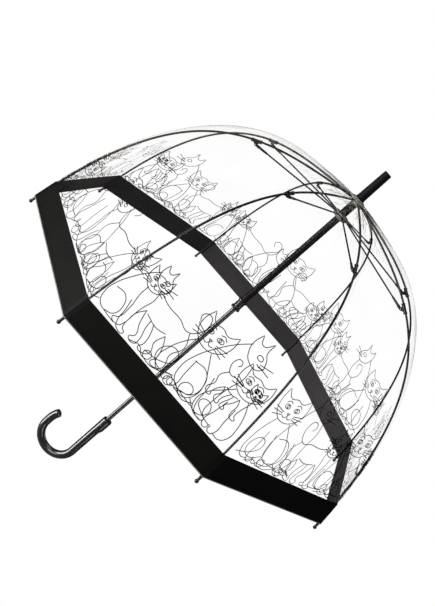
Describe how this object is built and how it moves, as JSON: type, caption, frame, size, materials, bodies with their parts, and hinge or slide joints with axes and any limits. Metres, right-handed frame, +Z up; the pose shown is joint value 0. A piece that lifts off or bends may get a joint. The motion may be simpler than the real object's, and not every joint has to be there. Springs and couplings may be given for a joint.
{
  "type": "clear bubble umbrella",
  "caption": "Open bubble umbrella: clear dome with a black hem band, curved ribs, sliding runner with stretchers, thin shaft and crook handle.",
  "frame": {"origin": "on the shaft's axis in the middle of the hand grip", "axes": "+Z up the shaft towards the ferrule; the crook hooks towards -X; ribs at 22.5 degrees and every 45 degrees from +X"},
  "size_m": [0.8078, 0.8078, 0.9462],
  "materials": {
    "black_rod": "semi-gloss black coating on a round spring rod",
    "clip_plastic": "moulded black plastic, satin",
    "tip_plastic": "moulded black plastic, glossy",
    "shaft_steel": "glossy black enamel on a steel tube",
    "runner_plastic": "moulded black plastic, soft gloss",
    "grey_plastic": "moulded grey plastic, satin",
    "ferrule_plastic": "moulded black plastic, soft gloss",
    "handle_plastic": "moulded black plastic, polished",
    "bright_steel": "bright spring steel and wire",
    "clear_film": "clear flexible vinyl film with a fine black line print",
    "band_vinyl": "opaque black vinyl with a heat-sealed edge line"
  },
  "bodies": {
    "frame": {"shaft": "shaft_steel", "ferrule": "ferrule_plastic", "crown_washer": "grey_plastic", "crown_notch": "grey_plastic", "crown_wire": "bright_steel", "stop_pin": "bright_steel", "crook_handle": "handle_plastic", "handle_pin": "bright_steel", "canopy_clear": "clear_film", "canopy_band": "band_vinyl"},
    "runner": {"runner_hub": "runner_plastic", "runner_wire": "bright_steel", "runner_tube": "runner_plastic", "runner_collar": "runner_plastic"},
    "top_catch": {"top_catch": "bright_steel"},
    "bottom_catch": {"bottom_catch": "bright_steel"},
    "stretcher_1": {"stretcher_1": "black_rod"},
    "upper_rib_1": {"upper_rib_1": "black_rod", "rib_joint_1": "clip_plastic"},
    "lower_rib_1": {"lower_rib_1": "black_rod", "tip_cap_1": "tip_plastic"},
    "stretcher_2": {"stretcher_2": "black_rod"},
    "upper_rib_2": {"upper_rib_2": "black_rod", "rib_joint_2": "clip_plastic"},
    "lower_rib_2": {"lower_rib_2": "black_rod", "tip_cap_2": "tip_plastic"},
    "stretcher_3": {"stretcher_3": "black_rod"},
    "upper_rib_3": {"upper_rib_3": "black_rod", "rib_joint_3": "clip_plastic"},
    "lower_rib_3": {"lower_rib_3": "black_rod", "tip_cap_3": "tip_plastic"},
    "stretcher_4": {"stretcher_4": "black_rod"},
    "upper_rib_4": {"upper_rib_4": "black_rod", "rib_joint_4": "clip_plastic"},
    "lower_rib_4": {"lower_rib_4": "black_rod", "tip_cap_4": "tip_plastic"},
    "stretcher_5": {"stretcher_5": "black_rod"},
    "upper_rib_5": {"upper_rib_5": "black_rod", "rib_joint_5": "clip_plastic"},
    "lower_rib_5": {"lower_rib_5": "black_rod", "tip_cap_5": "tip_plastic"},
    "stretcher_6": {"stretcher_6": "black_rod"},
    "upper_rib_6": {"upper_rib_6": "black_rod", "rib_joint_6": "clip_plastic"},
    "lower_rib_6": {"lower_rib_6": "black_rod", "tip_cap_6": "tip_plastic"},
    "stretcher_7": {"stretcher_7": "black_rod"},
    "upper_rib_7": {"upper_rib_7": "black_rod", "rib_joint_7": "clip_plastic"},
    "lower_rib_7": {"lower_rib_7": "black_rod", "tip_cap_7": "tip_plastic"},
    "stretcher_8": {"stretcher_8": "black_rod"},
    "upper_rib_8": {"upper_rib_8": "black_rod", "rib_joint_8": "clip_plastic"},
    "lower_rib_8": {"lower_rib_8": "black_rod", "tip_cap_8": "tip_plastic"}
  },
  "joints": [
    {"name": "runner_slide", "type": "slide", "parent": "frame", "child": "runner", "axis": [0, 0, -1], "range_m": [0, 0.37683], "deforming": ["canopy_clear", "canopy_band", "top_catch", "bottom_catch"]},
    {"name": "stretcher_hinge_1", "type": "hinge", "parent": "runner", "child": "stretcher_1", "pos_m": [0.01016, 0.00421, 0.723], "axis": [-0.3827, 0.9239, 0], "range_deg": [-92.22, 0]},
    {"name": "rib_joint_hinge_1", "type": "hinge", "parent": "stretcher_1", "child": "upper_rib_1", "pos_m": [0.19904, 0.08245, 0.70242], "axis": [-0.3827, 0.9239, 0], "range_deg": [0, 162.87]},
    {"name": "rib_flex_1", "type": "hinge", "parent": "upper_rib_1", "child": "lower_rib_1", "pos_m": [0.21094, 0.08737, 0.70443], "axis": [-0.3827, 0.9239, 0], "range_deg": [-47.13, 0]},
    {"name": "stretcher_hinge_2", "type": "hinge", "parent": "runner", "child": "stretcher_2", "pos_m": [0.00421, 0.01016, 0.723], "axis": [-0.9239, 0.3827, 0], "range_deg": [-92.22, 0]},
    {"name": "rib_joint_hinge_2", "type": "hinge", "parent": "stretcher_2", "child": "upper_rib_2", "pos_m": [0.08245, 0.19904, 0.70242], "axis": [-0.9239, 0.3827, 0], "range_deg": [0, 162.87]},
    {"name": "rib_flex_2", "type": "hinge", "parent": "upper_rib_2", "child": "lower_rib_2", "pos_m": [0.08737, 0.21094, 0.70443], "axis": [-0.9239, 0.3827, 0], "range_deg": [-47.13, 0]},
    {"name": "stretcher_hinge_3", "type": "hinge", "parent": "runner", "child": "stretcher_3", "pos_m": [-0.00421, 0.01016, 0.723], "axis": [-0.9239, -0.3827, 0], "range_deg": [-92.22, 0]},
    {"name": "rib_joint_hinge_3", "type": "hinge", "parent": "stretcher_3", "child": "upper_rib_3", "pos_m": [-0.08245, 0.19904, 0.70242], "axis": [-0.9239, -0.3827, 0], "range_deg": [0, 162.87]},
    {"name": "rib_flex_3", "type": "hinge", "parent": "upper_rib_3", "child": "lower_rib_3", "pos_m": [-0.08737, 0.21094, 0.70443], "axis": [-0.9239, -0.3827, 0], "range_deg": [-47.13, 0]},
    {"name": "stretcher_hinge_4", "type": "hinge", "parent": "runner", "child": "stretcher_4", "pos_m": [-0.01016, 0.00421, 0.723], "axis": [-0.3827, -0.9239, 0], "range_deg": [-92.22, 0]},
    {"name": "rib_joint_hinge_4", "type": "hinge", "parent": "stretcher_4", "child": "upper_rib_4", "pos_m": [-0.19904, 0.08245, 0.70242], "axis": [-0.3827, -0.9239, 0], "range_deg": [0, 162.87]},
    {"name": "rib_flex_4", "type": "hinge", "parent": "upper_rib_4", "child": "lower_rib_4", "pos_m": [-0.21094, 0.08737, 0.70443], "axis": [-0.3827, -0.9239, 0], "range_deg": [-47.13, 0]},
    {"name": "stretcher_hinge_5", "type": "hinge", "parent": "runner", "child": "stretcher_5", "pos_m": [-0.01016, -0.00421, 0.723], "axis": [0.3827, -0.9239, 0], "range_deg": [-92.22, 0]},
    {"name": "rib_joint_hinge_5", "type": "hinge", "parent": "stretcher_5", "child": "upper_rib_5", "pos_m": [-0.19904, -0.08245, 0.70242], "axis": [0.3827, -0.9239, 0], "range_deg": [0, 162.87]},
    {"name": "rib_flex_5", "type": "hinge", "parent": "upper_rib_5", "child": "lower_rib_5", "pos_m": [-0.21094, -0.08737, 0.70443], "axis": [0.3827, -0.9239, 0], "range_deg": [-47.13, 0]},
    {"name": "stretcher_hinge_6", "type": "hinge", "parent": "runner", "child": "stretcher_6", "pos_m": [-0.00421, -0.01016, 0.723], "axis": [0.9239, -0.3827, 0], "range_deg": [-92.22, 0]},
    {"name": "rib_joint_hinge_6", "type": "hinge", "parent": "stretcher_6", "child": "upper_rib_6", "pos_m": [-0.08245, -0.19904, 0.70242], "axis": [0.9239, -0.3827, 0], "range_deg": [0, 162.87]},
    {"name": "rib_flex_6", "type": "hinge", "parent": "upper_rib_6", "child": "lower_rib_6", "pos_m": [-0.08737, -0.21094, 0.70443], "axis": [0.9239, -0.3827, 0], "range_deg": [-47.13, 0]},
    {"name": "stretcher_hinge_7", "type": "hinge", "parent": "runner", "child": "stretcher_7", "pos_m": [0.00421, -0.01016, 0.723], "axis": [0.9239, 0.3827, 0], "range_deg": [-92.22, 0]},
    {"name": "rib_joint_hinge_7", "type": "hinge", "parent": "stretcher_7", "child": "upper_rib_7", "pos_m": [0.08245, -0.19904, 0.70242], "axis": [0.9239, 0.3827, 0], "range_deg": [0, 162.87]},
    {"name": "rib_flex_7", "type": "hinge", "parent": "upper_rib_7", "child": "lower_rib_7", "pos_m": [0.08737, -0.21094, 0.70443], "axis": [0.9239, 0.3827, 0], "range_deg": [-47.13, 0]},
    {"name": "stretcher_hinge_8", "type": "hinge", "parent": "runner", "child": "stretcher_8", "pos_m": [0.01016, -0.00421, 0.723], "axis": [0.3827, 0.9239, 0], "range_deg": [-92.22, 0]},
    {"name": "rib_joint_hinge_8", "type": "hinge", "parent": "stretcher_8", "child": "upper_rib_8", "pos_m": [0.19904, -0.08245, 0.70242], "axis": [0.3827, 0.9239, 0], "range_deg": [0, 162.87]},
    {"name": "rib_flex_8", "type": "hinge", "parent": "upper_rib_8", "child": "lower_rib_8", "pos_m": [0.21094, -0.08737, 0.70443], "axis": [0.3827, 0.9239, 0], "range_deg": [-47.13, 0]},
    {"name": "top_catch_press", "type": "slide", "parent": "frame", "child": "top_catch", "axis": [0, -1, 0], "range_m": [0, 0.0032], "stiffness_N_per_m": 700, "springref_m": -0.001},
    {"name": "bottom_catch_press", "type": "slide", "parent": "frame", "child": "bottom_catch", "axis": [0, -1, 0], "range_m": [0, 0.0032], "stiffness_N_per_m": 700, "springref_m": -0.001}
  ],
  "couplings": [
    {"joint": "stretcher_hinge_1", "follows": "runner_slide", "rad_per_m": -4.2689},
    {"joint": "rib_joint_hinge_1", "follows": "runner_slide", "rad_per_m": 7.5415},
    {"joint": "rib_flex_1", "follows": "runner_slide", "rad_per_m": -2.1806},
    {"joint": "stretcher_hinge_2", "follows": "runner_slide", "rad_per_m": -4.2689},
    {"joint": "rib_joint_hinge_2", "follows": "runner_slide", "rad_per_m": 7.5415},
    {"joint": "rib_flex_2", "follows": "runner_slide", "rad_per_m": -2.1806},
    {"joint": "stretcher_hinge_3", "follows": "runner_slide", "rad_per_m": -4.2689},
    {"joint": "rib_joint_hinge_3", "follows": "runner_slide", "rad_per_m": 7.5415},
    {"joint": "rib_flex_3", "follows": "runner_slide", "rad_per_m": -2.1806},
    {"joint": "stretcher_hinge_4", "follows": "runner_slide", "rad_per_m": -4.2689},
    {"joint": "rib_joint_hinge_4", "follows": "runner_slide", "rad_per_m": 7.5415},
    {"joint": "rib_flex_4", "follows": "runner_slide", "rad_per_m": -2.1806},
    {"joint": "stretcher_hinge_5", "follows": "runner_slide", "rad_per_m": -4.2689},
    {"joint": "rib_joint_hinge_5", "follows": "runner_slide", "rad_per_m": 7.5415},
    {"joint": "rib_flex_5", "follows": "runner_slide", "rad_per_m": -2.1806},
    {"joint": "stretcher_hinge_6", "follows": "runner_slide", "rad_per_m": -4.2689},
    {"joint": "rib_joint_hinge_6", "follows": "runner_slide", "rad_per_m": 7.5415},
    {"joint": "rib_flex_6", "follows": "runner_slide", "rad_per_m": -2.1806},
    {"joint": "stretcher_hinge_7", "follows": "runner_slide", "rad_per_m": -4.2689},
    {"joint": "rib_joint_hinge_7", "follows": "runner_slide", "rad_per_m": 7.5415},
    {"joint": "rib_flex_7", "follows": "runner_slide", "rad_per_m": -2.1806},
    {"joint": "stretcher_hinge_8", "follows": "runner_slide", "rad_per_m": -4.2689},
    {"joint": "rib_joint_hinge_8", "follows": "runner_slide", "rad_per_m": 7.5415},
    {"joint": "rib_flex_8", "follows": "runner_slide", "rad_per_m": -2.1806}
  ]
}
